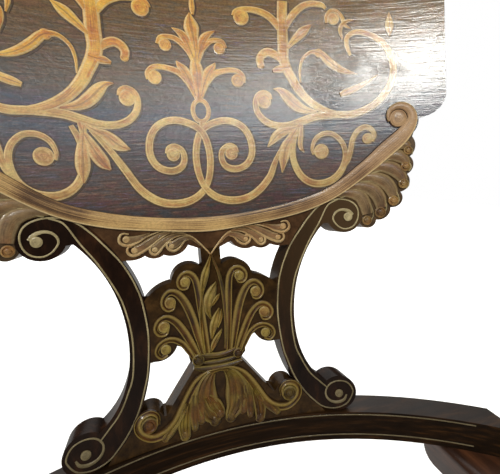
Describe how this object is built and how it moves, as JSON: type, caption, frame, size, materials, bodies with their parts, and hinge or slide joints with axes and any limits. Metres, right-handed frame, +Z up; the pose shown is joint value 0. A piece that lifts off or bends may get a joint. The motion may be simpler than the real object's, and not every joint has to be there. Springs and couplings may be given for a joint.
{
  "type": "savonarola chair",
  "caption": "Folding armchair on interlaced S-shaped staves, with a lift-out curved back: painted tablet, C-scroll stiles and a carved palmette splat.",
  "frame": {"origin": "centre of the whole chair on the floor", "axes": "+Z up, +Y to the rear, +X to the right as seen from the front"},
  "size_m": [0.6276, 0.6377, 1.1769],
  "materials": {
    "carved_gilt": "carved dark wood picked out in old gold",
    "carved_walnut": "carved dark walnut, gilt in the hollows",
    "ebonised_back": "near-black varnished wood with fine gold lines",
    "gilt_band": "gold-painted moulding, brushed lengthwise and worn",
    "japanned_tablet": "dark stained wood with gold scrollwork under glossy varnish",
    "rail_walnut": "waxed dark walnut, polished by hands",
    "slat_walnut": "waxed dark walnut, worn on top",
    "stave_walnut": "waxed dark walnut with long grain",
    "turned_walnut": "turned dark walnut"
  },
  "bodies": {
    "pivot": {"pivot_rod": "turned_walnut", "spacer_collars": "turned_walnut", "rosette_front": "carved_walnut", "rosette_rear": "carved_walnut"},
    "frame_right": {"stave_01": "stave_walnut", "stave_03": "stave_walnut", "stave_05": "stave_walnut", "stave_07": "stave_walnut", "stave_09": "stave_walnut", "stave_11": "stave_walnut", "stave_13": "stave_walnut", "arm_right": "rail_walnut", "arm_boss_right": "carved_walnut", "foot_left": "rail_walnut", "seat_rod_right": "turned_walnut"},
    "frame_left": {"stave_02": "stave_walnut", "stave_04": "stave_walnut", "stave_06": "stave_walnut", "stave_08": "stave_walnut", "stave_10": "stave_walnut", "stave_12": "stave_walnut", "arm_left": "rail_walnut", "arm_boss_left": "carved_walnut", "foot_right": "rail_walnut", "seat_rod_left": "turned_walnut"},
    "slats_left": {"slat_left_1": "slat_walnut", "slat_left_2": "slat_walnut", "slat_left_3": "slat_walnut", "slat_left_4": "slat_walnut", "slat_left_5": "slat_walnut", "slat_left_6": "slat_walnut"},
    "slats_right": {"slat_right_1": "slat_walnut", "slat_right_2": "slat_walnut", "slat_right_3": "slat_walnut", "slat_right_4": "slat_walnut", "slat_right_5": "slat_walnut", "slat_right_6": "slat_walnut"},
    "back": {"back_rail": "ebonised_back", "stile_left": "ebonised_back", "stile_right": "ebonised_back", "palmette_splat": "carved_gilt", "base_block": "carved_gilt", "apron_left": "carved_gilt", "apron_right": "carved_gilt", "ruffle_left": "carved_gilt", "ruffle_right": "carved_gilt", "tablet": "japanned_tablet", "edge_band": "gilt_band", "top_roll": "japanned_tablet"}
  },
  "joints": [
    {"name": "fold", "type": "hinge", "parent": "pivot", "child": "frame_right", "pos_m": [0, 0, 0.265], "axis": [0, -1, 0], "range_deg": [0, 29.5]},
    {"name": "fold_left", "type": "hinge", "parent": "pivot", "child": "frame_left", "pos_m": [0, 0, 0.265], "axis": [0, 1, 0], "range_deg": [0, 30]},
    {"name": "seat_left", "type": "hinge", "parent": "frame_left", "child": "slats_left", "pos_m": [-0.20336, 0, 0.415], "axis": [0, -1, 0], "range_deg": [0, 30]},
    {"name": "seat_right", "type": "hinge", "parent": "frame_right", "child": "slats_right", "pos_m": [0.20336, 0, 0.415], "axis": [0, 1, 0], "range_deg": [0, 30]},
    {"name": "back_lift", "type": "slide", "parent": "pivot", "child": "back", "axis": [0, 0, 1], "range_m": [0, 0.4734]}
  ],
  "couplings": [
    {"joint": "fold_left", "follows": "fold", "ratio": 1},
    {"joint": "seat_left", "follows": "fold", "ratio": 1},
    {"joint": "seat_right", "follows": "fold", "ratio": 1},
    {"joint": "back_lift", "follows": "fold", "m_per_rad": 0.9}
  ]
}
